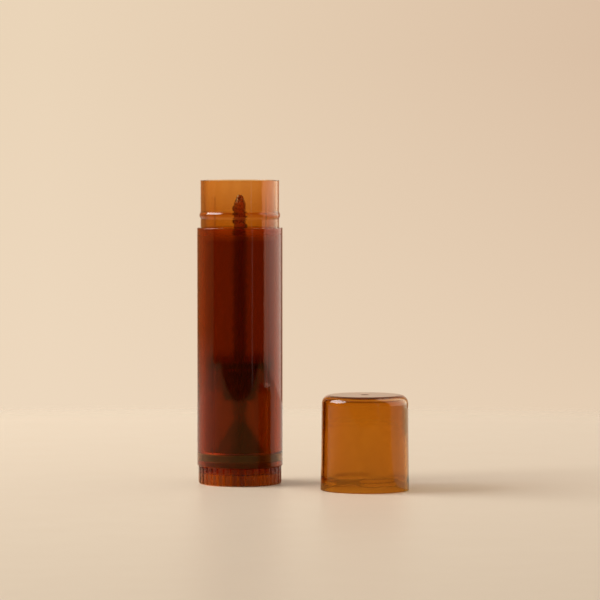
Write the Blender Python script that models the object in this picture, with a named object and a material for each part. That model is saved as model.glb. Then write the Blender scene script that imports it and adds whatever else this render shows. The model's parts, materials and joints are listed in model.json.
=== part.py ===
"""Twist-up lotion bar tube, with its cap taken off and standing beside it.

Units are metres and +Z is up. The origin is the centre of the tube's base, on the table.
Four mouldings make the tube: the barrel, the screw base under it, the elevator that rides
on the screw inside the barrel, and the cap.
"""

import math

import bmesh
import bpy

# Bore, walls and lengths of the barrel
BORE_RADIUS = 0.00665
BARREL_WALL = 0.00135
BARREL_LENGTH = 0.0445
BARREL_CHAMFER = 0.00025
SHOULDER_FILLET = 0.00015
NECK_WALL = 0.0007
NECK_LENGTH = 0.00885
RIM_FILLET = 0.00015

# Snap bead round the neck
BEAD_HEIGHT = 0.0002
BEAD_WIDTH = 0.0011
BEAD_LIFT = 0.0023

# Guide ribs down the bore, which stop the elevator from turning
GUIDE_COUNT = 8
GUIDE_ANGLE = math.radians(2.3)
GUIDE_HEIGHT = 0.00025
GUIDE_WIDTH = 0.0006
GUIDE_TOP_SETBACK = 0.0032

# Running gaps: between pieces that slide, between the threads, and under the barrel
SLIDE_GAP = 0.0003
THREAD_GAP = 0.0002
DIAL_GAP = 0.00035

# Ribbed dial of the screw base
DIAL_STEP = 0.00025
DIAL_HEIGHT = 0.00305
DIAL_WALL = 0.0011
DIAL_FILLET = 0.00045
DIAL_TOP_CHAMFER = 0.0002
DIAL_PLATE = 0.0009
DIAL_RIB_COUNT = 36
DIAL_GROOVE_DEPTH = 0.00028
DIAL_LAND_SHARE = 0.7

# Collar and snap flange, which hold the screw base in the barrel
LIP_HEIGHT = 0.00095
LIP_RELIEF = 0.0001
COLLAR_WALL = 0.0009
FLANGE_GRIP = 0.00055
FLANGE_THICKNESS = 0.0009
GROOVE_SLOPE_HEIGHT = 0.00025

# Bell-shaped root and threaded spindle
BELL_RADIUS = 0.0049
BELL_HEIGHT = 0.0060
BELL_WALL = 0.0010
BELL_FLARE = 1.0
PIN_RADIUS = 0.0015
SCREW_CORE_RADIUS = 0.0011
THREAD_DEPTH = 0.00035
THREAD_PITCH = 0.00225
THREAD_ROOT_WIDTH = 0.0011
THREAD_CREST_WIDTH = 0.0006
THREAD_LIFT = 0.00083
THREAD_TOP_SETBACK = 0.0022
TIP_SETBACK = 0.00275
TIP_FLAT = 0.0004
TIP_TAPER = 0.0016
SPINDLE_ROOT = 0.001

# Elevator: skirt, dished floor and threaded hub
REST_TURNS = 1.7
SKIRT_HEIGHT = 0.0066
SKIRT_WALL = 0.0007
HUB_DROP = 0.0019
HUB_WALL = 0.0015
HUB_ROUND = 0.0004
HUB_TAPER = 0.0003
HUB_TAPER_LENGTH = 0.0042
CUP_DEPTH = 0.0014
FLOOR_DISH = 0.0009
FLOOR_THICKNESS = 0.0008
SEAT_WIDTH = 0.0009
NUT_LEAD_IN = 0.0001
NUT_LEAD_IN_DEPTH = 0.0005

# Cap
CAP_HEIGHT = 0.0175
CAP_FIT = 0.00025
CAP_RIM_WALL = 0.00055
CAP_TOP_WALL = 0.00082
CAP_DRAFT = 0.0002
CAP_SHOULDER = 0.0016
CAP_RIM_CHAMFER = 0.00012
CAP_GATE_RADIUS = 0.0008
CAP_GATE_DEPTH = 0.00025

# Snap segments inside the cap
SNAP_COUNT = 4
SNAP_ANGLE = math.radians(58)
SNAP_TURN = math.radians(20)
SNAP_GRIP = 0.00018
SNAP_WIDTH = 0.0008
SNAP_LIFT = 0.0019

# Where the cap stands, from the tube's axis
CAP_X = 0.02318
CAP_Y = -0.0125

# Facets, and how far solids reach into each other before they are joined or cut
WALL_STEPS = 60
SCREW_STEPS = 12
NUT_THREAD_STEPS = 16
ARC_STEPS = 4
SHARP_ANGLE = math.radians(35)
OVERLAP = 0.0002
CUT_PAST = 0.001

# Radii that follow
NECK_RADIUS = BORE_RADIUS + NECK_WALL
BARREL_RADIUS = BORE_RADIUS + BARREL_WALL
BEAD_RADIUS = NECK_RADIUS + BEAD_HEIGHT
SKIRT_RADIUS = BORE_RADIUS - SLIDE_GAP
LIP_RADIUS = BORE_RADIUS + LIP_RELIEF
COLLAR_RADIUS = LIP_RADIUS - SLIDE_GAP
FLANGE_RADIUS = BORE_RADIUS + FLANGE_GRIP
SNAP_GROOVE_RADIUS = FLANGE_RADIUS + SLIDE_GAP
DIAL_RADIUS = BARREL_RADIUS - DIAL_STEP
THREAD_RADIUS = SCREW_CORE_RADIUS + THREAD_DEPTH
NUT_MINOR_RADIUS = SCREW_CORE_RADIUS + THREAD_GAP
NUT_MAJOR_RADIUS = THREAD_RADIUS + THREAD_GAP
HUB_RADIUS = NUT_MAJOR_RADIUS + HUB_WALL
CAP_BORE_RADIUS = NECK_RADIUS + CAP_FIT
CAP_RIM_RADIUS = CAP_BORE_RADIUS + CAP_RIM_WALL
CAP_TOP_RADIUS = CAP_RIM_RADIUS - CAP_DRAFT

# Heights that follow
BARREL_BOTTOM = DIAL_HEIGHT + DIAL_GAP
SHOULDER_Z = BARREL_BOTTOM + BARREL_LENGTH
RIM_Z = SHOULDER_Z + NECK_LENGTH
BEAD_Z = SHOULDER_Z + BEAD_LIFT
SNAP_GROOVE_BOTTOM = BARREL_BOTTOM + LIP_HEIGHT
FLANGE_BOTTOM = SNAP_GROOVE_BOTTOM + SLIDE_GAP
FLANGE_TOP = FLANGE_BOTTOM + FLANGE_THICKNESS
SNAP_GROOVE_TOP = FLANGE_TOP + SLIDE_GAP
GUIDE_BOTTOM = SNAP_GROOVE_TOP + GROOVE_SLOPE_HEIGHT
GUIDE_TOP = RIM_Z - GUIDE_TOP_SETBACK
BELL_TOP = FLANGE_TOP + BELL_HEIGHT
TIP_Z = RIM_Z - TIP_SETBACK
THREAD_TOP = TIP_Z - THREAD_TOP_SETBACK
HUB_BOTTOM = BELL_TOP + SLIDE_GAP + REST_TURNS * THREAD_PITCH
SKIRT_BOTTOM = HUB_BOTTOM + HUB_DROP
ELEVATOR_TOP = SKIRT_BOTTOM + SKIRT_HEIGHT
FLOOR_EDGE_Z = ELEVATOR_TOP - CUP_DEPTH
SEAT_Z = FLOOR_EDGE_Z - FLOOR_DISH


def clear_scene():
    """Removes every object that the scene starts with."""
    for obj in list(bpy.data.objects):
        bpy.data.objects.remove(obj, do_unlink=True)


def new_object(name, mesh):
    """Puts a mesh in the scene under its name."""
    obj = bpy.data.objects.new(name, mesh)
    bpy.context.scene.collection.objects.link(obj)
    return obj


def arc(radius, height, size, start, end, steps=ARC_STEPS):
    """Points (r, z) on an arc about (radius, height), from one angle to another, in degrees."""
    points = []
    for index in range(steps + 1):
        angle = math.radians(start + (end - start) * index / steps)
        points.append((radius + size * math.cos(angle), height + size * math.sin(angle)))
    return points


def turned(name, profile, steps, closed=True):
    """Turns a profile of (r, z) points about Z, with its outer side running downwards."""
    mesh = bpy.data.meshes.new(name)
    edges = [(index, index + 1) for index in range(len(profile) - 1)]
    if closed:
        edges.append((len(profile) - 1, 0))
    mesh.from_pydata([(r, 0.0, z) for r, z in profile], edges, [])
    obj = new_object(name, mesh)
    screw = obj.modifiers.new("turn", "SCREW")
    screw.axis = "Z"
    screw.angle = 2 * math.pi
    screw.steps = steps
    screw.render_steps = steps
    screw.use_merge_vertices = True
    screw.merge_threshold = 0.000001
    return obj


def lofted(name, rings):
    """Skins rings of points that have the same count, and caps the first and last ring."""
    mesh = bpy.data.meshes.new(name)
    bm = bmesh.new()
    loops = [[bm.verts.new(point) for point in ring] for ring in rings]
    count = len(rings[0])
    for low, high in zip(loops, loops[1:]):
        for index in range(count):
            after = (index + 1) % count
            bm.faces.new((low[index], low[after], high[after], high[index]))
    bm.faces.new(list(reversed(loops[0])))
    bm.faces.new(loops[-1])
    bmesh.ops.recalc_face_normals(bm, faces=bm.faces)
    bm.to_mesh(mesh)
    bm.free()
    return new_object(name, mesh)


def combine(target, other, operation):
    """Joins another solid to the target, or cuts it away, and hides it as a guide."""
    boolean = target.modifiers.new(other.name, "BOOLEAN")
    boolean.operation = operation
    boolean.solver = "EXACT"
    boolean.object = other
    other.hide_render = True
    other.display_type = "WIRE"


def settle(obj, material, guides):
    """Keeps the object's evaluated shape as its mesh, and removes the guides it was made with."""
    depsgraph = bpy.context.evaluated_depsgraph_get()
    mesh = bpy.data.meshes.new_from_object(obj.evaluated_get(depsgraph))
    obj.modifiers.clear()
    obj.data = mesh
    mesh.name = obj.name
    mesh.materials.clear()
    mesh.materials.append(material)
    mesh.shade_smooth()
    mesh.set_sharp_from_angle(angle=SHARP_ANGLE)
    for guide in guides:
        bpy.data.objects.remove(guide, do_unlink=True)
    return obj


def plastic(name, color, roughness):
    """A plain material for one moulding."""
    material = bpy.data.materials.new(name)
    material.use_nodes = True
    shader = material.node_tree.nodes["Principled BSDF"]
    shader.inputs["Base Color"].default_value = (*color, 1.0)
    shader.inputs["Roughness"].default_value = roughness
    shader.inputs["Metallic"].default_value = 0.0
    return material


def ring_points(angle, section):
    """Places a section of (r, z) points in the half plane at an angle about Z."""
    return [(r * math.cos(angle), r * math.sin(angle), z) for r, z in section]


def helix(name, inner, outer, root_width, crest_width, bottom, top, steps):
    """A left-handed ridge wound about Z: its angle follows from its height over the thread's lift."""
    turns = (top - bottom) / THREAD_PITCH
    count = max(2, math.ceil(turns * steps))
    rings = []
    for index in range(count + 1):
        z = bottom + (top - bottom) * index / count
        angle = -2 * math.pi * (z - THREAD_LIFT) / THREAD_PITCH
        section = [
            (inner, z - root_width / 2),
            (outer, z - crest_width / 2),
            (outer, z + crest_width / 2),
            (inner, z + root_width / 2),
        ]
        rings.append(ring_points(angle, section))
    return lofted(name, rings)


def bead_section():
    """The snap bead's outline on the neck, from its top edge down to its bottom edge."""
    points = []
    steps = 2 * ARC_STEPS
    for index in range(steps + 1):
        share = index / steps
        swell = math.sin(math.pi * share)
        points.append((NECK_RADIUS + BEAD_HEIGHT * swell, BEAD_Z + BEAD_WIDTH * (0.5 - share)))
    return points


def upright_bars(name, section, bottom, top):
    """Upright bars, one at each guide rib's angle, from a section of (radius, sideways) points."""
    bars = []
    for index in range(GUIDE_COUNT):
        angle = GUIDE_ANGLE - math.pi / 2 + 2 * math.pi * index / GUIDE_COUNT
        cosine, sine = math.cos(angle), math.sin(angle)
        rings = []
        for z in (bottom, top):
            rings.append([(r * cosine - side * sine, r * sine + side * cosine, z) for r, side in section])
        bars.append(lofted(f"{name}_{index}", rings))
    return bars


def make_guides():
    """The guide ribs, as wedges that grow out of the bore's wall."""
    root = BORE_RADIUS + min(OVERLAP, NECK_WALL / 2)
    crest = BORE_RADIUS - GUIDE_HEIGHT
    half_root = GUIDE_WIDTH / 2
    half_crest = GUIDE_WIDTH / 4
    section = [(crest, -half_crest), (root, -half_root), (root, half_root), (crest, half_crest)]
    return upright_bars("guide", section, GUIDE_BOTTOM, GUIDE_TOP)


def make_barrel():
    """The barrel, with its thinner neck, snap bead, guide ribs and snap groove at the bottom."""
    profile = arc(NECK_RADIUS - RIM_FILLET, RIM_Z - RIM_FILLET, RIM_FILLET, 90, 0, 2)
    profile += bead_section()
    profile += [(NECK_RADIUS, SHOULDER_Z)]
    profile += arc(BARREL_RADIUS - SHOULDER_FILLET, SHOULDER_Z - SHOULDER_FILLET, SHOULDER_FILLET, 90, 0, 3)
    profile += [
        (BARREL_RADIUS, BARREL_BOTTOM + BARREL_CHAMFER),
        (BARREL_RADIUS - BARREL_CHAMFER, BARREL_BOTTOM),
        (LIP_RADIUS, BARREL_BOTTOM),
        (LIP_RADIUS, SNAP_GROOVE_BOTTOM),
        (SNAP_GROOVE_RADIUS, SNAP_GROOVE_BOTTOM),
        (SNAP_GROOVE_RADIUS, SNAP_GROOVE_TOP),
        (BORE_RADIUS, GUIDE_BOTTOM),
        (BORE_RADIUS, RIM_Z - RIM_FILLET),
        (BORE_RADIUS + RIM_FILLET, RIM_Z),
    ]
    barrel = turned("barrel", profile, WALL_STEPS)
    guides = make_guides()
    for guide in guides:
        combine(barrel, guide, "UNION")
    return settle(barrel, plastic("amber_barrel", (0.12, 0.03, 0.01), 0.12), guides)


def dial_ring(z, inset):
    """The dial's ribbed outline at a height, drawn in by an inset."""
    points = []
    pitch = 2 * math.pi / DIAL_RIB_COUNT
    samples = [(0.0, 0.0), (DIAL_LAND_SHARE / 2, 0.0), (DIAL_LAND_SHARE, 0.0)]
    samples.append(((1 + DIAL_LAND_SHARE) / 2, DIAL_GROOVE_DEPTH))
    for rib in range(DIAL_RIB_COUNT):
        for share, depth in samples:
            angle = (rib + share) * pitch
            radius = DIAL_RADIUS - depth - inset
            points.append((radius * math.cos(angle), radius * math.sin(angle), z))
    return points


def make_dial():
    """The ribbed disc under the barrel, with a rounded bottom edge."""
    rings = []
    for index in range(ARC_STEPS):
        angle = math.radians(90) * index / ARC_STEPS
        rings.append(dial_ring(DIAL_FILLET * (1 - math.cos(angle)), DIAL_FILLET * (1 - math.sin(angle))))
    rings.append(dial_ring(DIAL_FILLET, 0.0))
    rings.append(dial_ring(DIAL_HEIGHT - DIAL_TOP_CHAMFER, 0.0))
    rings.append(dial_ring(DIAL_HEIGHT, DIAL_TOP_CHAMFER))
    return lofted("screw_base", rings)


def bell_curve(narrow, wide, bottom, top, steps):
    """A flared outline from the spindle down to the flange."""
    points = []
    for index in range(steps + 1):
        share = index / steps
        points.append((narrow + (wide - narrow) * share ** BELL_FLARE, top + (bottom - top) * share))
    return points


def make_stem():
    """Collar, snap flange and bell-shaped root, which narrows to the spindle's core."""
    joint = DIAL_HEIGHT - DIAL_PLATE / 2
    profile = [(0.0, BELL_TOP)]
    profile += bell_curve(SCREW_CORE_RADIUS, BELL_RADIUS, FLANGE_TOP, BELL_TOP, ARC_STEPS + 1)
    profile += [
        (FLANGE_RADIUS, FLANGE_TOP),
        (FLANGE_RADIUS, FLANGE_BOTTOM),
        (COLLAR_RADIUS, FLANGE_BOTTOM),
        (COLLAR_RADIUS, joint),
        (0.0, joint),
    ]
    return turned("stem", profile, WALL_STEPS, closed=False)


def make_spindle():
    """The spindle's round core, from inside the bell up to its tapered tip."""
    root = BELL_TOP - SPINDLE_ROOT
    profile = [(0.0, TIP_Z), (TIP_FLAT, TIP_Z), (SCREW_CORE_RADIUS, TIP_Z - TIP_TAPER)]
    profile += [(SCREW_CORE_RADIUS, root), (0.0, root)]
    return turned("spindle", profile, SCREW_STEPS, closed=False)


def make_hollow():
    """The space under the dial and inside the collar and bell: it keeps the walls thin, and leaves
    the spindle's lower end as a pin that ends flush with the dial's rim.
    """
    wide = DIAL_RADIUS - DIAL_WALL
    collar = COLLAR_RADIUS - COLLAR_WALL
    ceiling = FLANGE_TOP + BELL_HEIGHT / 2 - BELL_WALL
    profile = bell_curve(PIN_RADIUS, BELL_RADIUS - BELL_WALL, FLANGE_TOP, ceiling, 2)
    profile += [
        (collar, FLANGE_BOTTOM),
        (collar, DIAL_HEIGHT - DIAL_PLATE),
        (wide, DIAL_HEIGHT - DIAL_PLATE),
        (wide, -CUT_PAST),
        (PIN_RADIUS, -CUT_PAST),
    ]
    return turned("hollow", profile, WALL_STEPS)


def make_screw_base():
    """Dial, collar, flange, bell and left-handed screw, moulded as one piece."""
    base = make_dial()
    stem = make_stem()
    hollow = make_hollow()
    spindle = make_spindle()
    thread = helix(
        "thread", SCREW_CORE_RADIUS - OVERLAP, THREAD_RADIUS,
        THREAD_ROOT_WIDTH, THREAD_CREST_WIDTH, BELL_TOP - THREAD_ROOT_WIDTH / 2, THREAD_TOP, SCREW_STEPS)
    combine(base, stem, "UNION")
    combine(base, hollow, "DIFFERENCE")
    combine(base, spindle, "UNION")
    combine(base, thread, "UNION")
    return settle(base, plastic("amber_base", (0.35, 0.09, 0.02), 0.2), [stem, hollow, spindle, thread])


def make_notches():
    """Cutters for the elevator's notches, one round each guide rib."""
    depth = BORE_RADIUS - GUIDE_HEIGHT - SLIDE_GAP
    half_width = GUIDE_WIDTH / 2 + SLIDE_GAP
    past = SKIRT_RADIUS + CUT_PAST
    section = [(depth, -half_width), (past, -half_width), (past, half_width), (depth, half_width)]
    return upright_bars("notch", section, SKIRT_BOTTOM - CUT_PAST, ELEVATOR_TOP + CUT_PAST)


def make_elevator():
    """The sliding cup that carries the bar: skirt, dished floor and threaded hub."""
    inner = SKIRT_RADIUS - SKIRT_WALL
    seat = HUB_RADIUS + SEAT_WIDTH
    hub_top = HUB_RADIUS + HUB_TAPER
    profile = [
        (SKIRT_RADIUS, ELEVATOR_TOP),
        (SKIRT_RADIUS, SKIRT_BOTTOM),
        (inner, SKIRT_BOTTOM),
        (inner, FLOOR_EDGE_Z - FLOOR_THICKNESS),
        (hub_top, SEAT_Z - FLOOR_THICKNESS),
        (hub_top, HUB_BOTTOM + HUB_TAPER_LENGTH),
    ]
    profile += arc(HUB_RADIUS - HUB_ROUND, HUB_BOTTOM + HUB_ROUND, HUB_ROUND, 0, -90, 2)
    profile += [
        (NUT_MINOR_RADIUS, HUB_BOTTOM),
        (NUT_MINOR_RADIUS, SEAT_Z - NUT_LEAD_IN_DEPTH),
        (NUT_MAJOR_RADIUS + NUT_LEAD_IN, SEAT_Z),
        (seat, SEAT_Z),
        (inner, FLOOR_EDGE_Z),
        (inner, ELEVATOR_TOP),
    ]
    elevator = turned("elevator", profile, WALL_STEPS)
    groove = helix(
        "groove", NUT_MINOR_RADIUS - OVERLAP, NUT_MAJOR_RADIUS,
        THREAD_ROOT_WIDTH + 2 * THREAD_GAP, THREAD_CREST_WIDTH + 2 * THREAD_GAP,
        HUB_BOTTOM - THREAD_PITCH, SEAT_Z + THREAD_PITCH, NUT_THREAD_STEPS)
    notches = make_notches()
    combine(elevator, groove, "DIFFERENCE")
    for notch in notches:
        combine(elevator, notch, "DIFFERENCE")
    return settle(elevator, plastic("amber_elevator", (0.2, 0.05, 0.015), 0.25), [groove, *notches])


def make_snaps():
    """Short ridges inside the cap's mouth, which click under the neck's bead."""
    crest = BEAD_RADIUS - SNAP_GRIP
    root = CAP_BORE_RADIUS + CAP_RIM_WALL / 2
    half_root = SNAP_WIDTH / 2
    half_crest = SNAP_WIDTH / 8
    section = [
        (crest, SNAP_LIFT - half_crest),
        (root, SNAP_LIFT - half_root),
        (root, SNAP_LIFT + half_root),
        (crest, SNAP_LIFT + half_crest),
    ]
    steps = 2 * ARC_STEPS
    snaps = []
    for index in range(SNAP_COUNT):
        middle = SNAP_TURN + 2 * math.pi * index / SNAP_COUNT
        angles = [middle + SNAP_ANGLE * (step / steps - 0.5) for step in range(steps + 1)]
        snaps.append(lofted(f"snap_{index}", [ring_points(angle, section) for angle in angles]))
    return snaps


def make_cap():
    """The cap, open end down: a tapered cup with a round shoulder and a gate mark on top."""
    inner_top = CAP_TOP_RADIUS - CAP_TOP_WALL
    inner_shoulder = CAP_SHOULDER - CAP_TOP_WALL
    ceiling = CAP_HEIGHT - CAP_TOP_WALL
    profile = [(0.0, CAP_HEIGHT - CAP_GATE_DEPTH), (CAP_GATE_RADIUS / 2, CAP_HEIGHT - CAP_GATE_DEPTH)]
    profile += [(CAP_GATE_RADIUS, CAP_HEIGHT)]
    profile += arc(CAP_TOP_RADIUS - CAP_SHOULDER, CAP_HEIGHT - CAP_SHOULDER, CAP_SHOULDER, 90, 0)
    profile += [
        (CAP_RIM_RADIUS, CAP_RIM_CHAMFER),
        (CAP_RIM_RADIUS - CAP_RIM_CHAMFER, 0.0),
        (CAP_BORE_RADIUS + CAP_RIM_CHAMFER, 0.0),
        (CAP_BORE_RADIUS, CAP_RIM_CHAMFER),
    ]
    profile += arc(inner_top - inner_shoulder, ceiling - inner_shoulder, inner_shoulder, 0, 90)
    profile += [(0.0, ceiling)]
    cap = turned("cap", profile, WALL_STEPS, closed=False)
    snaps = make_snaps()
    for snap in snaps:
        combine(cap, snap, "UNION")
    settle(cap, plastic("amber_cap", (0.5, 0.16, 0.02), 0.1), snaps)
    cap.location = (CAP_X, CAP_Y, 0.0)
    return cap


def main():
    """Builds the four mouldings: the screw base and the elevator turn and slide about the Z axis."""
    clear_scene()
    make_barrel()
    make_screw_base()
    make_elevator()
    make_cap()
    print("rim height", round(RIM_Z, 5), "elevator top", round(ELEVATOR_TOP, 5), "seat", round(SEAT_Z, 5))
    print("lowest turn", round(-360 * REST_TURNS, 2), "degrees, pitch", THREAD_PITCH)


main()
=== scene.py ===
# %% [markdown]
# # An amber twist-up tube, with its cap standing beside it
#
# The real object is four injection mouldings in one see-through amber plastic: a barrel, a dial with a
# long screw, an elevator that climbs the screw, and a cap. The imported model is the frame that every
# piece is built around, so the sizes that it holds are read from it. Each piece is then made again with
# rounder walls and real edges, because clear plastic shows every facet that it has.

# %% Load the frame
import json
import math

import bpy
from mathutils import Matrix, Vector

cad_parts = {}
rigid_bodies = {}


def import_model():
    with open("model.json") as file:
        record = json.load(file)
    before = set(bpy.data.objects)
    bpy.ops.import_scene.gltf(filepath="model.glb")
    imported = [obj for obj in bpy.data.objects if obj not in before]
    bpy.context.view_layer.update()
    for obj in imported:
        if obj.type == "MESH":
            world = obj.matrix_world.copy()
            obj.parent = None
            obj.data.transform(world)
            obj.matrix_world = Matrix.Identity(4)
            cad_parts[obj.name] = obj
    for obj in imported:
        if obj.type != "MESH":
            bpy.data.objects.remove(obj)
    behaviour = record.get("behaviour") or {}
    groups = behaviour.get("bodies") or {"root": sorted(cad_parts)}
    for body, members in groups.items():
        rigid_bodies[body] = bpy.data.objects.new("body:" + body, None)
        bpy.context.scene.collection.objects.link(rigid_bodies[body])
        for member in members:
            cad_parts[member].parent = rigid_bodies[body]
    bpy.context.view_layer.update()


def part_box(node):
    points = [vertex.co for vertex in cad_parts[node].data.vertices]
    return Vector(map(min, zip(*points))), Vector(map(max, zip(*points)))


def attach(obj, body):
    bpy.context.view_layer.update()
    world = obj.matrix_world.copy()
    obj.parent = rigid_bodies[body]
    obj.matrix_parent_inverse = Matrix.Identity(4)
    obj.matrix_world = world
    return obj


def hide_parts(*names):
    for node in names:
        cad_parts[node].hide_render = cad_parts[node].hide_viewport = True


for leftover in list(bpy.data.objects):
    bpy.data.objects.remove(leftover, do_unlink=True)
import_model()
MM = 0.001

# %% [markdown]
# ## Sizes
#
# The outside of each node gives the main sizes. Walls, gaps and other inner sizes lie inside the solids,
# where no box shows them, so they are named here and in each piece's own cell. Names in capitals with MM
# behind the number are in metres. Sizes in a piece's cell are in millimetres, as on a maker's drawing.

# %% Sizes read from the frame
barrel_low, barrel_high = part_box("barrel")
base_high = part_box("screw_base")[1]
elevator_low, elevator_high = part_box("elevator")
cap_low, cap_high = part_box("cap")

BARREL_RADIUS = barrel_high.x
BARREL_BOTTOM, RIM_Z = barrel_low.z, barrel_high.z
DIAL_RADIUS, TIP_Z = base_high.x, base_high.z
HUB_BOTTOM, ELEVATOR_TOP = elevator_low.z, elevator_high.z
CAP_HEIGHT, CAP_RIM_RADIUS = cap_high.z, (cap_high.x - cap_low.x) / 2
CAP_X, CAP_Y = (cap_low.x + cap_high.x) / 2, (cap_low.y + cap_high.y) / 2
print("barrel", round(2 * BARREL_RADIUS / MM, 2), "mm across, rim at", round(RIM_Z / MM, 2), "mm")

# %% Sizes that more than one moulding shares
BARREL_WALL = 1.35 * MM
NECK_WALL = 0.70 * MM
NECK_LENGTH = 8.85 * MM
SLIDE_GAP = 0.3 * MM
THREAD_GAP = 0.2 * MM
BORE_RADIUS = BARREL_RADIUS - BARREL_WALL
NECK_RADIUS = BORE_RADIUS + NECK_WALL
SHOULDER_Z = RIM_Z - NECK_LENGTH
print("bore", round(2 * BORE_RADIUS / MM, 2), "mm, shoulder at", round(SHOULDER_Z / MM, 2), "mm")

# %% [markdown]
# ## Outlines with rounded corners
#
# A mould's cavity is cut on a lathe, so a moulding is one outline turned about its axis. Here an outline
# is a list of corners, each with its radius from the axis, its height and its fillet. The helper rounds
# every corner, and it adds a point near each end of a long run. Smooth shading then turns only at the
# corner, and the flat wall between stays flat to the light.

# %% Round one corner
FILLET_STEP = math.radians(12)
FILLET_SHARE = 0.48
NEARLY_STRAIGHT = math.radians(1)


def corner(r, z, fillet=0.0, rib=0.0):
    """A corner of an outline in mm: radius, height, fillet, and how much of a rib's depth it takes."""
    return (r * MM, z * MM, fillet * MM, rib)


def rounded_corner(before, here, after):
    """The points that a corner becomes once its fillet is cut."""
    r, z, fillet, rib = here
    u, v = (before[0] - r, before[1] - z), (after[0] - r, after[1] - z)
    u_long, v_long = math.hypot(*u), math.hypot(*v)
    if fillet <= 0 or min(u_long, v_long) == 0:
        return [(r, z, rib)]
    u, v = (u[0] / u_long, u[1] / u_long), (v[0] / v_long, v[1] / v_long)
    between = math.acos(max(-1.0, min(1.0, u[0] * v[0] + u[1] * v[1])))
    if math.pi - between < NEARLY_STRAIGHT:
        return [(r, z, rib)]
    tangent = min(fillet / math.tan(between / 2), FILLET_SHARE * u_long, FILLET_SHARE * v_long)
    radius = tangent * math.tan(between / 2)
    middle = (u[0] + v[0], u[1] + v[1])
    reach = radius / math.sin(between / 2) / math.hypot(*middle)
    centre = (r + middle[0] * reach, z + middle[1] * reach)
    start = math.atan2(z + u[1] * tangent - centre[1], r + u[0] * tangent - centre[0])
    end = math.atan2(z + v[1] * tangent - centre[1], r + v[0] * tangent - centre[0])
    sweep = (end - start + math.pi) % (2 * math.pi) - math.pi
    steps = max(2, math.ceil(abs(sweep) / FILLET_STEP))
    angles = [start + sweep * index / steps for index in range(steps + 1)]
    return [(centre[0] + radius * math.cos(a), centre[1] + radius * math.sin(a), rib) for a in angles]


# %% Round an outline and support its long runs
SUPPORT = 0.06 * MM
LONG_RUN = 0.4 * MM


def outline(corners, closed):
    """Rounds the corners and supports the long runs: the points (r, z, rib) in order."""
    points = []
    count = len(corners)
    for index, here in enumerate(corners):
        if not closed and index in (0, count - 1):
            points.append((here[0], here[1], here[3]))
        else:
            points += rounded_corner(corners[index - 1], here, corners[(index + 1) % count])
    if closed:
        points.append(points[0])
    supported = [points[0]]
    for before, here in zip(points, points[1:]):
        run = math.hypot(here[0] - before[0], here[1] - before[1])
        if run > LONG_RUN:
            for share in (SUPPORT / run, 1 - SUPPORT / run):
                supported.append(tuple(a + (b - a) * share for a, b in zip(before, here)))
        supported.append(here)
    return supported


square = outline([corner(r, z, 0.2) for r, z in ((1, 0), (2, 0), (2, 1), (1, 1))], True)
print("a rounded square of 1 mm has", len(square), "points")

# %% [markdown]
# ## A turned moulding with ribs
#
# The barrel, dial, elevator and cap all follow one rule: an outline is carried round the axis, and at
# some of its points the radius changes in a repeated rhythm, which makes guide ribs, grip grooves,
# notches or snap segments. A Spin would give the round form only, and each rib would need a Boolean.
# Geometry Nodes can state the whole rule: a grid gets one row for each outline point and one column for
# each direction, and every point is moved to where the rule puts it.

# %% Helpers for node trees
def feed(tree, socket, value):
    """Links a socket to an input, or writes a plain value on it. A colour gets its alpha here."""
    if isinstance(value, bpy.types.NodeSocket):
        tree.links.new(value, socket)
    elif value is not None:
        socket.default_value = (*value, 1) if socket.type == "RGBA" else value


def put(tree, kind, *values, out=0, **settings):
    """Adds a node, feeds the inputs that are on in order, and returns one of its outputs."""
    node = tree.nodes.new(kind)
    for name, value in settings.items():
        setattr(node, name, value)
    for socket, value in zip([s for s in node.inputs if s.enabled], values):
        feed(tree, socket, value)
    return node.outputs[out]


def calc(tree, operation, *values):
    """A Math node's result."""
    return put(tree, "ShaderNodeMath", *values, operation=operation)


def times(tree, one, other):
    """Two values multiplied."""
    return calc(tree, "MULTIPLY", one, other)


def ranged(tree, value, start, end, low=0.0, high=1.0, kind="LINEAR"):
    """A Map Range node's result: low at start, high at end, and held beyond them."""
    return put(tree, "ShaderNodeMapRange", value, start, end, low, high, interpolation_type=kind)


def xyz(tree, vector):
    """The three parts of a vector."""
    split = tree.nodes.new("ShaderNodeSeparateXYZ")
    feed(tree, split.inputs[0], vector)
    return [split.outputs[axis] for axis in "XYZ"]


def floats(*labels):
    """Sockets for plain numbers."""
    return [(label, "Float") for label in labels]


def new_tree(name, kind, inputs, outputs):
    """A node tree with named sockets, and its input and output nodes."""
    tree = bpy.data.node_groups.new(name, kind)
    for label, socket in inputs:
        tree.interface.new_socket(label, in_out="INPUT", socket_type="NodeSocket" + socket)
    for label, socket in outputs:
        tree.interface.new_socket(label, in_out="OUTPUT", socket_type="NodeSocket" + socket)
    return tree, tree.nodes.new("NodeGroupInput").outputs, tree.nodes.new("NodeGroupOutput").inputs


def counted(tree):
    """Prints how many nodes a tree has, and hands it on."""
    print(tree.name, "has", len(tree.nodes), "nodes")
    return tree


# %% The tree that turns an outline
MERGE_DISTANCE = 0.001 * MM


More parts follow.
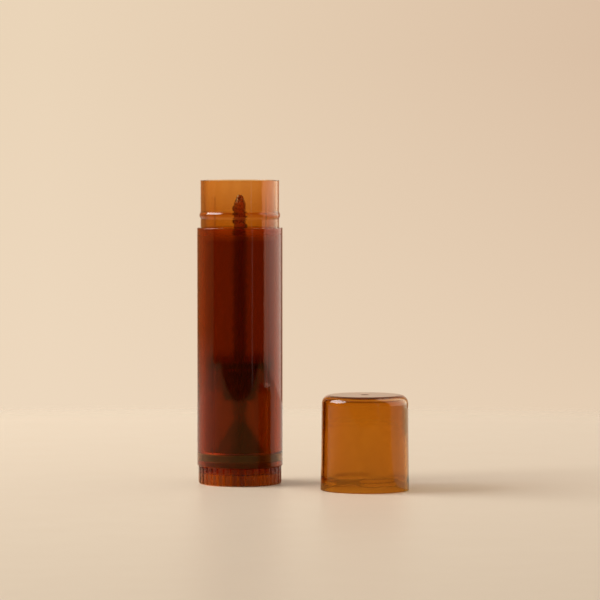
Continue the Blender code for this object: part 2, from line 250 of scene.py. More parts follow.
def turned_moulding_tree():
    """Carries an outline round Z, and changes its radius where a rib comes by."""
    tree, given, result = new_tree(
        "turned_moulding", "GeometryNodeTree",
        [("Outline", "Geometry"), ("Columns", "Int"), ("Rib Count", "Int"), ("Material", "Material"),
         *floats("Rib Depth", "Rib Root Angle", "Rib Crest Angle", "Rib Turn")],
        [("Moulding", "Geometry")])
    rows = put(tree, "GeometryNodeAttributeDomainSize", given["Outline"], component="MESH")
    grid = put(tree, "GeometryNodeMeshGrid", 1.0, 1.0, calc(tree, "ADD", given["Columns"], 1.0), rows)
    index = put(tree, "GeometryNodeInputIndex")
    column = calc(tree, "FLOOR", calc(tree, "DIVIDE", index, rows))
    row = calc(tree, "MODULO", index, rows)
    position = put(tree, "GeometryNodeInputPosition")
    rib = put(tree, "GeometryNodeInputNamedAttribute", "rib", data_type="FLOAT")
    place = put(tree, "GeometryNodeSampleIndex", given["Outline"], position, row, data_type="FLOAT_VECTOR")
    share = put(tree, "GeometryNodeSampleIndex", given["Outline"], rib, row, data_type="FLOAT")
    place_r, place_z = xyz(tree, place)[::2]

    angle = times(tree, calc(tree, "DIVIDE", column, given["Columns"]), 2 * math.pi)
    half_period = calc(tree, "DIVIDE", math.pi, given["Rib Count"])
    wrapped = calc(tree, "WRAP", calc(tree, "SUBTRACT", angle, given["Rib Turn"]),
                   half_period, times(tree, half_period, -1.0))
    swell = ranged(tree, calc(tree, "ABSOLUTE", wrapped), given["Rib Root Angle"], given["Rib Crest Angle"],
                   kind="SMOOTHSTEP")
    depth = times(tree, times(tree, swell, share), given["Rib Depth"])
    radius = calc(tree, "ADD", place_r, depth)
    turned = put(tree, "ShaderNodeCombineXYZ",
                 times(tree, radius, calc(tree, "COSINE", angle)),
                 times(tree, radius, calc(tree, "SINE", angle)), place_z)
    moved = put(tree, "GeometryNodeSetPosition", grid, None, turned)
    joined = put(tree, "GeometryNodeMergeByDistance", moved, None, MERGE_DISTANCE)
    real = put(tree, "GeometryNodeRealizeInstances", joined)
    feed(tree, result["Moulding"], put(tree, "GeometryNodeSetMaterial", real, None, given["Material"]))
    return tree


TURNED_MOULDING = counted(turned_moulding_tree())

# %% Helpers that run a tree and keep its mesh
SHARP_ANGLE = math.radians(38)


def bake(obj):
    """Keeps the evaluated shape as the object's plain mesh, smooth but for its sharp edges."""
    depsgraph = bpy.context.evaluated_depsgraph_get()
    mesh = bpy.data.meshes.new_from_object(obj.evaluated_get(depsgraph))
    obj.modifiers.clear()
    obj.data = mesh
    mesh.name = obj.name
    mesh.shade_smooth()
    mesh.set_sharp_from_angle(angle=SHARP_ANGLE)
    return obj


def placed(name, data):
    """A new object in the scene."""
    obj = bpy.data.objects.new(name, data)
    bpy.context.scene.collection.objects.link(obj)
    return obj


def grown(name, mesh, tree, values):
    """An object whose mesh is what a tree, with its inputs set, makes from a start mesh."""
    obj = placed(name, mesh)
    modifier = obj.modifiers.new("rule", "NODES")
    modifier.node_group = tree
    for item in tree.interface.items_tree:
        if item.in_out == "INPUT" and item.name in values:
            modifier[item.identifier] = values[item.name]
    return bake(obj)


def ribs(count, depth, turn, root, crest):
    """A rhythm of ribs: its depth in mm, and in degrees its turn and a rib's half-width at root and crest."""
    return {"Rib Count": count, "Rib Depth": depth * MM, "Rib Turn": math.radians(turn),
            "Rib Root Angle": math.radians(root), "Rib Crest Angle": math.radians(crest)}


def turned(name, corners, closed, material, columns, rhythm=None):
    """A moulding turned from corners, with a rhythm of ribs if it has one."""
    points = outline(corners, closed)
    mesh = bpy.data.meshes.new(name)
    edges = [(index, index + 1) for index in range(len(points) - 1)]
    mesh.from_pydata([(r, 0.0, z) for r, z, rib in points], edges, [])
    mesh.attributes.new("rib", "FLOAT", "POINT").data.foreach_set("value", [p[2] for p in points])
    values = {"Columns": columns, "Rib Count": 1, "Material": material, **(rhythm or {})}
    return grown(name, mesh, TURNED_MOULDING, values)


def told(obj):
    """Prints what a piece measures."""
    faces = sum(len(face.vertices) - 2 for face in obj.data.polygons)
    size = [round(length / MM, 2) for length in obj.dimensions]
    print(obj.name, "has", faces, "triangles and measures", size, "mm")


# %% [markdown]
# ## Amber plastic
#
# The plastic is clear resin with a brown dye. Light that crosses more of it comes out deeper and
# redder, so thin walls look honey-coloured and thick ones almost black. A painted colour can't do that,
# so an absorbing volume does it, as the real dye does.
#
# Four groups add the rest. The melt leaves a slow waviness and faint streaks as it flows. Handling leaves
# haze and hairlines. A mould is often polished outside and left textured inside, so one group makes the
# inner faces rough. The last one is painted shade: it tints faces darker by height, because the volume
# alone left the thick lower walls too bright beside the photograph. It darkens the inside of the barrel
# and the screw base but for the dial's outside, and on all of the cap it gives the plastic's colour as
# well as painted shade. The real plastic has no such tint, and it was fitted to the tube at rest.
#
# A lamp's light stops at a glassy surface when Cycles looks for shadows. So the surface is plain
# transparent to shadow rays, in an amber shade, and the tube's shadow on the table stays soft and warm.

# %% The melt's flow, as a node group
FLOW_STRETCH = (1.0, 1.0, 0.3)
STREAK_LOW, STREAK_HIGH = 0.35, 0.65


def noise(tree, coordinate, scale, detail, roughness):
    """A Noise Texture's value."""
    return put(tree, "ShaderNodeTexNoise", coordinate, scale, detail, roughness)


def moulding_flow_group():
    """Slow waviness along the flow, and streaks of slightly deeper dye."""
    tree, given, result = new_tree(
        "moulding_flow", "ShaderNodeTree",
        [("Coordinate", "Vector"), *floats("Wave Scale", "Streak Scale")], floats("Height", "Streak"))
    stretched = put(tree, "ShaderNodeMapping", given["Coordinate"], None, None, FLOW_STRETCH)
    wave = noise(tree, stretched, given["Wave Scale"], detail=1.0, roughness=0.4)
    streak = noise(tree, stretched, given["Streak Scale"], detail=3.0, roughness=0.55)
    feed(tree, result["Height"], wave)
    feed(tree, result["Streak"], ranged(tree, streak, STREAK_LOW, STREAK_HIGH))
    return tree


MOULDING_FLOW = counted(moulding_flow_group())

# %% Wear from handling, as a node group
HAIRLINE_SLANT = (0.5, 0.3, 0.9)
HAIRLINE_STRETCH = (1.0, 1.0, 0.06)
HAIRLINE_ROUGHNESS = 0.06
HAZE_LOW, HAZE_HIGH = 0.4, 0.75
LINE_LOW, LINE_HIGH = 0.66, 0.72


def handling_wear_group():
    """Haze in soft patches and fine hairlines: a roughness and a height."""
    tree, given, result = new_tree(
        "handling_wear", "ShaderNodeTree",
        [("Coordinate", "Vector"), *floats("Haze Scale", "Line Scale", "Smooth", "Hazy")],
        floats("Roughness", "Height"))
    patches = noise(tree, given["Coordinate"], given["Haze Scale"], detail=4.0, roughness=0.6)
    haze = ranged(tree, patches, HAZE_LOW, HAZE_HIGH, given["Smooth"], given["Hazy"])
    slanted = put(tree, "ShaderNodeMapping", given["Coordinate"], None, HAIRLINE_SLANT, HAIRLINE_STRETCH)
    lines = noise(tree, slanted, given["Line Scale"], detail=2.0, roughness=0.5)
    thin = ranged(tree, lines, LINE_LOW, LINE_HIGH)
    feed(tree, result["Roughness"], calc(tree, "ADD", haze, times(tree, thin, HAIRLINE_ROUGHNESS)))
    feed(tree, result["Height"], times(tree, thin, -1.0))
    return tree


HANDLING_WEAR = counted(handling_wear_group())

# %% The textured core, as a node group
def round_and_up(tree, coordinate):
    """The distance from the axis and the height of a point."""
    x, y, z = xyz(tree, coordinate)
    square_sum = calc(tree, "ADD", times(tree, x, x), times(tree, y, y))
    return calc(tree, "SQRT", square_sum), z


def textured_core_group():
    """Polished plastic that turns to a textured finish inside a radius and between two heights."""
    tree, given, result = new_tree(
        "textured_core", "ShaderNodeTree",
        [("Coordinate", "Vector"), *floats("Polished", "Textured", "Radius", "Bottom", "Top", "Fade")],
        floats("Roughness"))
    radius, z = round_and_up(tree, given["Coordinate"])
    inside = times(tree, calc(tree, "LESS_THAN", radius, given["Radius"]),
                  calc(tree, "GREATER_THAN", z, given["Bottom"]))
    below = ranged(tree, z, calc(tree, "SUBTRACT", given["Top"], given["Fade"]), given["Top"], 1.0, 0.0)
    share = times(tree, inside, below)
    feed(tree, result["Roughness"], put(tree, "ShaderNodeMix", share, given["Polished"], given["Textured"]))
    return tree


TEXTURED_CORE = counted(textured_core_group())

# %% A tint and painted shade by height, as a node group
WHITE = (1.0, 1.0, 1.0)


def mixed(tree, share, one, other, blend="MIX"):
    """A mix of two colours, from the first to the other."""
    return put(tree, "ShaderNodeMix", share, one, other, data_type="RGBA", blend_type=blend, out=2)


def tint_and_painted_shade_group():
    """A tint inside a radius, which goes from a high level through a middle one to a low one, and
    another tint below a foot's height and inside its radius: painted shade by height, and on the cap the
    plastic's colour too."""
    tree, given, result = new_tree(
        "tint_and_painted_shade", "ShaderNodeTree",
        [("Coordinate", "Vector"), *floats("Radius", "High", "Middle", "Low", "Foot", "Foot Radius"),
         ("High Tint", "Color"), ("Middle Tint", "Color"), ("Low Tint", "Color"), ("Foot Tint", "Color")],
        [("Tint", "Color")])
    radius, z = round_and_up(tree, given["Coordinate"])
    upper = ranged(tree, z, given["High"], given["Middle"])
    lower = ranged(tree, z, given["Middle"], given["Low"])
    above = mixed(tree, upper, given["High Tint"], given["Middle Tint"])
    tint = mixed(tree, lower, above, given["Low Tint"])
    tint = mixed(tree, calc(tree, "LESS_THAN", radius, given["Radius"]), WHITE, tint)
    at_foot = times(tree, calc(tree, "LESS_THAN", z, given["Foot"]),
                   calc(tree, "LESS_THAN", radius, given["Foot Radius"]))
    feed(tree, result["Tint"], mixed(tree, at_foot, tint, given["Foot Tint"]))
    return tree


TINT_AND_PAINTED_SHADE = counted(tint_and_painted_shade_group())

# %% The dye, as an absorbing volume
def dye_volume(tree, dye):
    """A volume that absorbs red, green and blue by a dye's own amounts for each mm."""
    volume = tree.nodes.new("ShaderNodeVolumeAbsorption")
    strongest = max(dye)
    volume.inputs["Color"].default_value = (*[1 - part / strongest for part in dye], 1)
    volume.inputs["Density"].default_value = strongest / MM
    return volume.outputs[0]


# %% The amber plastic itself
IOR = 1.5
EVERYWHERE = 1.0
STREAKED = (0.96, 0.94, 0.92)
WAVE_SCALE, STREAK_SCALE, HAZE_SCALE, LINE_SCALE = 260.0, 420.0, 500.0, 2600.0
WAVE_STRENGTH, WAVE_HEIGHT = 0.2, 0.02 * MM
WEAR_STRENGTH, WEAR_HEIGHT = 0.1, 0.002 * MM
TUBE_SHADE, CAP_SHADE = (0.6, 0.56, 0.47), (0.82, 0.88, 0.84)


def group_node(tree, group, values):
    """Places a shader group and feeds its named inputs."""
    node = tree.nodes.new("ShaderNodeGroup")
    node.node_tree = group
    for label, value in values.items():
        feed(tree, node.inputs[label], value)
    return node.outputs


def amber(name, dye, smooth, hazy, core=None, tints=None, shade=TUBE_SHADE):
    """Amber plastic: the dye in its volume, its finish, a core left textured, and painted shade by height."""
    material = bpy.data.materials.new(name)
    material.use_nodes = True
    tree = material.node_tree
    shader, output = tree.nodes["Principled BSDF"], tree.nodes["Material Output"]
    coordinate = put(tree, "ShaderNodeTexCoord", out="Object")
    flow = group_node(tree, MOULDING_FLOW, {
        "Coordinate": coordinate, "Wave Scale": WAVE_SCALE, "Streak Scale": STREAK_SCALE})
    wear = group_node(tree, HANDLING_WEAR, {
        "Coordinate": coordinate, "Haze Scale": HAZE_SCALE, "Line Scale": LINE_SCALE,
        "Smooth": smooth, "Hazy": hazy})
    tint = mixed(tree, flow["Streak"], WHITE, STREAKED)
    # depth below is painted shade by height, and on the cap the plastic's colour too
    if tints:
        depth = group_node(tree, TINT_AND_PAINTED_SHADE, {"Coordinate": coordinate, **tints})
        tint = mixed(tree, 1.0, tint, depth["Tint"], "MULTIPLY")
    feed(tree, shader.inputs["Base Color"], tint)
    roughness = wear["Roughness"]
    if core:
        texture = group_node(tree, TEXTURED_CORE, {"Coordinate": coordinate, "Polished": roughness, **core})
        roughness = texture["Roughness"]
    feed(tree, shader.inputs["Roughness"], roughness)
    ripple = put(tree, "ShaderNodeBump", WAVE_STRENGTH, WAVE_HEIGHT, None, flow["Height"])
    worn = put(tree, "ShaderNodeBump", WEAR_STRENGTH, WEAR_HEIGHT, None, wear["Height"], ripple)
    feed(tree, shader.inputs["Normal"], worn)
    for label, value in (("Metallic", 0.0), ("Transmission Weight", 1.0), ("IOR", IOR)):
        shader.inputs[label].default_value = value
    clear = put(tree, "ShaderNodeBsdfTransparent", shade)
    shadow = tree.nodes.new("ShaderNodeLightPath").outputs["Is Shadow Ray"]
    feed(tree, output.inputs["Surface"], put(tree, "ShaderNodeMixShader", shadow, shader.outputs[0], clear))
    feed(tree, output.inputs["Volume"], dye_volume(tree, dye))
    print(name, "absorbs for each mm", dye)
    return material


# %% [markdown]
# ## The barrel
#
# The barrel is the tall outer tube. Its thinner neck takes the cap, and the bead round the neck is what
# the cap clicks over. Eight low ribs run down the bore and keep the elevator from turning. At the
# bottom a groove inside the wall holds the dial's flange. One closed outline has all of it but the ribs,
# so the barrel is turned in one go, with the ribs as its rhythm.

# %% Barrel plastic
BARREL_DYE = (0.20, 0.84, 2.05)
BARREL_SKIN = 0.35 * MM
BORE_MARGIN = 0.3 * MM
barrel_amber = amber(
    "amber_barrel_clear", BARREL_DYE, smooth=0.02, hazy=0.05,
    core={"Radius": BARREL_RADIUS - BARREL_SKIN, "Bottom": 0.0, "Top": SHOULDER_Z, "Fade": 1.5 * MM,
          "Textured": 0.3},
    # The tints paint shade inside the barrel: darker below the shoulder, darkest at the foot round the dial's
    # flange.
    tints={"Radius": BORE_RADIUS + BORE_MARGIN,
           "High": RIM_Z - 1.0 * MM, "Middle": SHOULDER_Z, "Low": SHOULDER_Z - 2.5 * MM,
           "High Tint": WHITE, "Middle Tint": (0.63, 0.44, 0.05), "Low Tint": (0.19, 0.08, 0.01),
           "Foot": 6.2 * MM, "Foot Radius": BARREL_RADIUS - 0.3 * MM, "Foot Tint": (0.13, 0.034, 0.014)})

# %% Bead and groove
BEAD_HEIGHT = 0.2
BEAD_SPREAD = 1.25
BEAD_CREST = 0.45
BEAD_LIFT = 2.3
LIP_RELIEF = 0.1
LIP_HEIGHT = 0.95
FLANGE_GRIP = 0.55
FLANGE_THICKNESS = 0.9
GROOVE_SLOPE = 0.25

bore, neck, outer = BORE_RADIUS / MM, NECK_RADIUS / MM, BARREL_RADIUS / MM
foot, shoulder, rim = BARREL_BOTTOM / MM, SHOULDER_Z / MM, RIM_Z / MM
lip = bore + LIP_RELIEF
flange = bore + FLANGE_GRIP
groove = flange + SLIDE_GAP / MM
groove_bottom = foot + LIP_HEIGHT
flange_bottom = groove_bottom + SLIDE_GAP / MM
flange_top = flange_bottom + FLANGE_THICKNESS
groove_top = flange_top + SLIDE_GAP / MM
bead_middle, bead_half, crest_half = shoulder + BEAD_LIFT, BEAD_SPREAD / 2, BEAD_CREST / 2
bead = [corner(neck, bead_middle - bead_half, 0.3), corner(neck + BEAD_HEIGHT, bead_middle - crest_half, 0.7),
        corner(neck + BEAD_HEIGHT, bead_middle + crest_half, 0.7), corner(neck, bead_middle + bead_half, 0.3)]
print("groove up to", round(groove_top, 2), "mm, bead at", round(bead_middle, 2), "mm")

# %% Barrel
ROUND_COLUMNS = 288
GUIDE_COUNT = 8
FRONT = -90
GUIDE_TURN = FRONT + 2.3
GUIDE_HEIGHT = 0.07
GUIDE_TOP_SETBACK = 3.2
GUIDE_RUN_OUT = 0.35

guide_bottom, guide_top = groove_top + GROOVE_SLOPE, rim - GUIDE_TOP_SETBACK
barrel = turned(
    "tube_barrel",
    [corner(lip, foot, 0.12), corner(outer, foot, 0.15), corner(outer, shoulder, 0.14),
     corner(neck, shoulder, 0.03), *bead, corner(neck, rim, 0.08), corner(bore, rim, 0.08),
     corner(bore, guide_top + GUIDE_RUN_OUT), corner(bore, guide_top, 0, 1), corner(bore, guide_bottom, 0, 1),
     corner(groove, groove_top, 0.1), corner(groove, groove_bottom, 0.1), corner(lip, groove_bottom, 0.1)],
    True, barrel_amber, ROUND_COLUMNS, ribs(GUIDE_COUNT, -GUIDE_HEIGHT, GUIDE_TURN, root=3.4, crest=0.4))
told(barrel)

# %% [markdown]
# ## The screw base
#
# Dial, snap flange, cone-shaped root and screw are one moulding, hollow underneath so that its walls cool
# evenly. The dial has 36 flat lands with narrow grooves between them for the fingers. Its grooves need
# many columns and the plain stem needs few, so the two are turned apart and then joined.

# %% Base plastic
BASE_DYE = (0.24, 0.8, 2.1)
DIAL_SKIN = 0.5 * MM
base_amber = amber(
    "amber_base_clear", BASE_DYE, smooth=0.22, hazy=0.3,
    core={"Radius": DIAL_RADIUS - DIAL_SKIN, "Bottom": -EVERYWHERE, "Top": 9.0 * MM, "Fade": 5.0 * MM,
          "Textured": 0.55},
    # The tints paint shade inside the screw base, darker towards the dial, with a lighter tint at the pin.
    tints={"Radius": DIAL_RADIUS - DIAL_SKIN, "High": 5.0 * MM, "Middle": 3.6 * MM, "Low": 1.4 * MM,
           "High Tint": (0.68, 0.52, 0.38), "Middle Tint": (0.62, 0.49, 0.33), "Low Tint": (0.6, 0.38, 0.17),
           "Foot": 4.5 * MM, "Foot Radius": 1.8 * MM, "Foot Tint": (1.0, 0.8, 0.6)})

# %% Dial
DIAL_COLUMNS = 720
DIAL_HEIGHT = 3.25
DIAL_WALL = 1.1
DIAL_PLATE = 1.1
DIAL_RIB_COUNT = 36
DIAL_RIB_TURN = 8.5
DIAL_GROOVE_DEPTH = 0.28
COLLAR_WALL = 0.9

dial = DIAL_RADIUS / MM
collar = lip - SLIDE_GAP / MM
collar_inside = collar - COLLAR_WALL
plate_bottom = DIAL_HEIGHT - DIAL_PLATE
base = turned(
    "turning_screw_base",
    [corner(dial - DIAL_WALL, 0, 0.12), corner(dial, 0, 0.42, 1), corner(dial, DIAL_HEIGHT, 0.08, 1),
     corner(collar - COLLAR_WALL / 2, DIAL_HEIGHT), corner(collar - COLLAR_WALL / 2, plate_bottom),
     corner(dial - DIAL_WALL, plate_bottom, 0.3)],
    True, base_amber, DIAL_COLUMNS,
    ribs(DIAL_RIB_COUNT, -DIAL_GROOVE_DEPTH, DIAL_RIB_TURN, root=1.7, crest=0.2))
told(base)

# %% Stem: collar, flange, cone-shaped root and spindle
STEM_COLUMNS = 144
CONE_RADIUS = 4.9
CONE_HEIGHT = 6.0
CONE_WALL = 1.0
CONE_STEPS, HOLLOW_STEPS = 10, 5
PIN_RADIUS = 1.5
CORE_RADIUS = 1.1
TIP_FLAT = 0.4
TIP_TAPER = 1.6

cone_top = flange_top + CONE_HEIGHT
ceiling = flange_top + CONE_HEIGHT / 2 - CONE_WALL
weld = plate_bottom + DIAL_PLATE / 3
tip = TIP_Z / MM


def cone_side(narrow, wide, bottom, top, steps):
    """Corners up a cone's side, from its wide bottom to its narrow top."""
    shares = [index / steps for index in range(steps, -1, -1)]
    return [corner(narrow + (wide - narrow) * share, top + (bottom - top) * share) for share in shares]


hollow = [corner(0, 0), corner(PIN_RADIUS, 0, 0.15), corner(PIN_RADIUS, ceiling, 0.15)]
hollow += reversed(cone_side(PIN_RADIUS, CONE_RADIUS - CONE_WALL, flange_top, ceiling, HOLLOW_STEPS)[:-1])
hollow += [corner(collar_inside, flange_bottom, 0.3), corner(collar_inside, weld)]
outside = [corner(collar, weld), corner(collar, flange_bottom, 0.1),
           corner(flange, flange_bottom, 0.1), corner(flange, flange_top, 0.2)]
outside += cone_side(CORE_RADIUS, CONE_RADIUS, flange_top, cone_top, CONE_STEPS)
outside += [corner(CORE_RADIUS, tip - TIP_TAPER, 0.5), corner(TIP_FLAT, tip, 0.15), corner(0, tip)]
stem = turned("stem", hollow + outside, False, base_amber, STEM_COLUMNS)
told(stem)

# %% [markdown]
# ## The screw's thread
#
# A thread is a ridge that follows a helix. A tree makes the helix with Curve Spiral and sweeps a
# trapezoid along it. The curve's radius lets the ridge run out at its ends, as a thread cutter does when
# it is drawn back. The helix is left-handed, so that the bar rises when the dial is turned clockwise,
# seen from below. The spiral's own normals point inwards, so the trapezoid is laid the other way round.

# %% The tree that winds a thread
THREAD_STEPS = 48
THREAD_RUN_OUT = 0.35


def screw_thread_tree():
    """A ridge on a left-handed helix about Z, from a height up, run out at both ends."""
    tree, given, result = new_tree(
        "screw_thread", "GeometryNodeTree",
        [("Start", "Geometry"), ("Steps", "Int"), ("Material", "Material"),
         *floats("Root Radius", "Depth", "Pitch", "Root Width", "Crest Width", "Bottom", "Turns")],
        [("Thread", "Geometry")])
    rise = times(tree, given["Turns"], given["Pitch"])
    helix = put(tree, "GeometryNodeCurveSpiral", given["Steps"], given["Turns"], given["Root Radius"],
                given["Root Radius"], rise, False)
    upright = put(tree, "GeometryNodeSetCurveNormal", helix, mode="Z_UP")
    along = put(tree, "GeometryNodeSplineParameter", out=1)
    left = calc(tree, "MINIMUM", along, calc(tree, "SUBTRACT", put(tree, "GeometryNodeSplineLength"), along))
    full = ranged(tree, left, 0.0, given["Pitch"], THREAD_RUN_OUT, 1.0, kind="SMOOTHSTEP")
    faded = put(tree, "GeometryNodeSetCurveRadius", upright, None, full)

    section = tree.nodes.new("GeometryNodeCurvePrimitiveQuadrilateral")
    section.mode = "POINTS"
    half_root, half_crest = (calc(tree, "DIVIDE", given[w], 2.0) for w in ("Root Width", "Crest Width"))
    outward = times(tree, given["Depth"], -1.0)
    for label, reach, half, side in (
            ("Point 1", 0.0, half_root, 1.0), ("Point 2", outward, half_crest, 1.0),
            ("Point 3", outward, half_crest, -1.0), ("Point 4", 0.0, half_root, -1.0)):
        point = put(tree, "ShaderNodeCombineXYZ", reach, times(tree, half, side))
        feed(tree, section.inputs[label], point)

    ridge = put(tree, "GeometryNodeCurveToMesh", faded, section.outputs["Curve"], 1.0, True)
    start = put(tree, "ShaderNodeCombineXYZ", 0.0, 0.0, given["Bottom"])
    real = put(tree, "GeometryNodeRealizeInstances", put(tree, "GeometryNodeTransform", ridge, start))
    feed(tree, result["Thread"], put(tree, "GeometryNodeSetMaterial", real, None, given["Material"]))
    return tree


SCREW_THREAD = counted(screw_thread_tree())

# %% The screw's own thread
THREAD_PITCH = 2.25
THREAD_DEPTH = 0.3
THREAD_ROOT_WIDTH = 1.1
THREAD_CREST_WIDTH = 0.6
THREAD_LIFT = 0.83
THREAD_TOP_SETBACK = 2.2
THREAD_BURY = 0.15


def threaded(name, root_radius, depth, root, crest, bottom, turns, material):
    """A thread's ridge, sizes in mm, which crosses +X at its bottom height."""
    lead = math.cos(math.atan(THREAD_PITCH / (2 * math.pi * root_radius)))
    return grown(name, bpy.data.meshes.new(name), SCREW_THREAD, {
        "Root Radius": root_radius * MM, "Depth": depth * MM, "Pitch": THREAD_PITCH * MM,
        "Root Width": root * lead * MM, "Crest Width": crest * lead * MM, "Bottom": bottom * MM,
        "Turns": turns, "Steps": THREAD_STEPS, "Material": material})


thread_bottom = math.floor(cone_top / THREAD_PITCH) * THREAD_PITCH + THREAD_LIFT
thread_turns = (tip - THREAD_TOP_SETBACK - thread_bottom) / THREAD_PITCH
thread = threaded("thread", CORE_RADIUS - THREAD_BURY, THREAD_DEPTH + THREAD_BURY,
                  THREAD_ROOT_WIDTH, THREAD_CREST_WIDTH, thread_bottom, thread_turns, base_amber)
told(thread)


# %% Join the screw base into one moulding
def combine(target, others, operation):
    """Joins solids to the target or cuts them from it, and removes them."""
    for other in others:
        boolean = target.modifiers.new(other.name, "BOOLEAN")
        boolean.operation, boolean.solver, boolean.object = operation, "EXACT", other
    bake(target)
    for other in others:
        bpy.data.objects.remove(other, do_unlink=True)


combine(base, [stem, thread], "UNION")
told(base)

# %% [markdown]
# ## The elevator
#
# The elevator is the cup that carries the bar. A skirt slides in the bore, with a notch for each guide
# rib, and the hub in the middle is threaded on the screw. Its floor is dished so that melted lotion sets
# into it and holds on. The cup is turned first, and then a thread a little larger than the screw's is
# cut from its hub, so that the screw runs free.

# %% Elevator cup
SKIRT_HEIGHT = 6.6
SKIRT_WALL = 0.7
HUB_WALL = 1.5
HUB_ROUND = 0.4
HUB_TAPER = 0.3
HUB_TAPER_LENGTH = 4.2
CUP_DEPTH = 1.4
FLOOR_DISH = 0.9
FLOOR_THICKNESS = 0.8
SEAT_WIDTH = 0.9
NUT_LEAD_IN = 0.1
NUT_LEAD_IN_DEPTH = 0.5
ELEVATOR_DYE = (0.42, 1.3, 3.1)

elevator_amber = amber("amber_elevator_clear", ELEVATOR_DYE, smooth=0.06, hazy=0.14)
skirt = bore - SLIDE_GAP / MM
skirt_inside = skirt - SKIRT_WALL
top, hub_bottom = ELEVATOR_TOP / MM, HUB_BOTTOM / MM
skirt_bottom = top - SKIRT_HEIGHT
nut_minor = CORE_RADIUS + THREAD_GAP / MM
nut_major = nut_minor + THREAD_DEPTH
hub = nut_major + HUB_WALL
hub_wide = hub + HUB_TAPER
floor_edge = top - CUP_DEPTH
seat_z = floor_edge - FLOOR_DISH
elevator = turned(
    "sliding_elevator",
    [corner(skirt_inside, skirt_bottom, 0.15), corner(skirt, skirt_bottom, 0.15, 1),
     corner(skirt, top, 0.15, 1), corner(skirt_inside, top, 0.15), corner(skirt_inside, floor_edge, 0.3),
     corner(hub + SEAT_WIDTH, seat_z, 0.3), corner(nut_major + NUT_LEAD_IN, seat_z),
     corner(nut_minor, seat_z - NUT_LEAD_IN_DEPTH), corner(nut_minor, hub_bottom, 0.1),
     corner(hub, hub_bottom, HUB_ROUND), corner(hub_wide, hub_bottom + HUB_TAPER_LENGTH, 0.3),
     corner(hub_wide, seat_z - FLOOR_THICKNESS, 0.3),
     corner(skirt_inside, floor_edge - FLOOR_THICKNESS, 0.4)],
    True, elevator_amber, ROUND_COLUMNS, ribs(GUIDE_COUNT, -GUIDE_HEIGHT, GUIDE_TURN, root=6.3, crest=4.9))
told(elevator)

# %% Thread in the elevator's hub
NUT_PLAY = 0.4

nut_start = math.floor(hub_bottom / THREAD_PITCH - 1) * THREAD_PITCH + THREAD_LIFT
nut_turns = math.ceil((seat_z - nut_start) / THREAD_PITCH) + 1
nut_cutter = threaded("nut_thread", CORE_RADIUS, THREAD_DEPTH + THREAD_GAP / MM, THREAD_ROOT_WIDTH + NUT_PLAY,
                      THREAD_CREST_WIDTH + NUT_PLAY, nut_start, nut_turns, elevator_amber)
combine(elevator, [nut_cutter], "DIFFERENCE")
told(elevator)

# %% [markdown]
# ## The cap
#
# The cap is a short cup with a rounded shoulder, taken off and standing on its mouth. The dot on top is
# its gate, where the melt came in. Inside its mouth four snap segments click under the neck's bead, and
# they are the rhythm of its outline. Its ceiling is left textured, so the top plate doesn't carry light
# from edge to edge and show it as a dark crescent.

# %% Cap plastic
CAP_DYE = (0.23, 0.65, 1.82)
cap_amber = amber(
    "amber_cap_clear", CAP_DYE, smooth=0.02, hazy=0.05,
    core={"Radius": EVERYWHERE, "Bottom": CAP_HEIGHT - 0.7 * MM, "Top": CAP_HEIGHT - 0.64 * MM,
          "Fade": 0.01 * MM, "Textured": 0.35},
    # The tints give the cap its amber colour and paint shade, a little darker towards its mouth.
    tints={"Radius": EVERYWHERE, "High": 14.0 * MM, "Middle": 3.5 * MM, "Low": 0.0,
           "High Tint": (0.851, 0.634, 0.28), "Middle Tint": (0.8, 0.575, 0.29),
           "Low Tint": (0.75, 0.57, 0.31)},
    shade=CAP_SHADE)

# %% Snap segments
CAP_RIM_WALL = 0.55
SNAP_COUNT = 4
SNAP_TURN = 20
SNAP_GRIP = 0.07
SNAP_LIFT = 1.9
SNAP_WIDTH = 1.6
SNAP_STEPS = 12

cap_rim = CAP_RIM_RADIUS / MM
cap_bore = cap_rim - CAP_RIM_WALL
snap_depth = cap_bore - (neck + BEAD_HEIGHT - SNAP_GRIP)
snap = []
for index in range(SNAP_STEPS + 1):
    share = index / SNAP_STEPS
    swell = (1 - math.cos(2 * math.pi * share)) / 2
    snap.append(corner(cap_bore, SNAP_LIFT + SNAP_WIDTH * (0.5 - share), 0, swell))
print("snap segments reach", round(snap_depth, 2), "mm into the mouth")

# %% Cap
CAP_TOP_WALL = 0.68
CAP_DRAFT = 0.2
CAP_SHOULDER = 1.6
GATE_RADIUS = 0.8
GATE_DEPTH = 0.25

cap_top_radius = cap_rim - CAP_DRAFT
cap_top = CAP_HEIGHT / MM
cap_ceiling = cap_top - CAP_TOP_WALL
cap = turned(
    "lift_off_cap",
    [corner(0, cap_ceiling), corner(cap_top_radius - CAP_TOP_WALL, cap_ceiling, CAP_SHOULDER - CAP_TOP_WALL),
     *snap, corner(cap_bore, 0, 0.15), corner(cap_rim, 0, 0.15),
     corner(cap_top_radius, cap_top, CAP_SHOULDER), corner(GATE_RADIUS, cap_top, 0.1),
     corner(GATE_RADIUS / 2, cap_top - GATE_DEPTH, 0.1), corner(0, cap_top - GATE_DEPTH)],
    False, cap_amber, ROUND_COLUMNS, ribs(SNAP_COUNT, -snap_depth, SNAP_TURN, root=36, crest=16))
cap.data.transform(Matrix.Translation((CAP_X, CAP_Y, 0)))
told(cap)

# %% [markdown]
# ## What each piece rides on
#
# The imported model has four bodies that move apart from each other: the tube, the screw that turns in it,
# the lift that the screw drives, and the lid. Each moulding rides on its body and stands in for its plain
# solid.

# %% Rides
for piece, body, node, slot in (
        (barrel, "tube", "barrel", "amber_barrel"), (base, "screw", "screw_base", "amber_base"),
        (elevator, "lift", "elevator", "amber_elevator"), (cap, "lid", "cap", "amber_cap")):
    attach(piece, body)
    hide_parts(node)
    print(piece.name, "rides on", body)
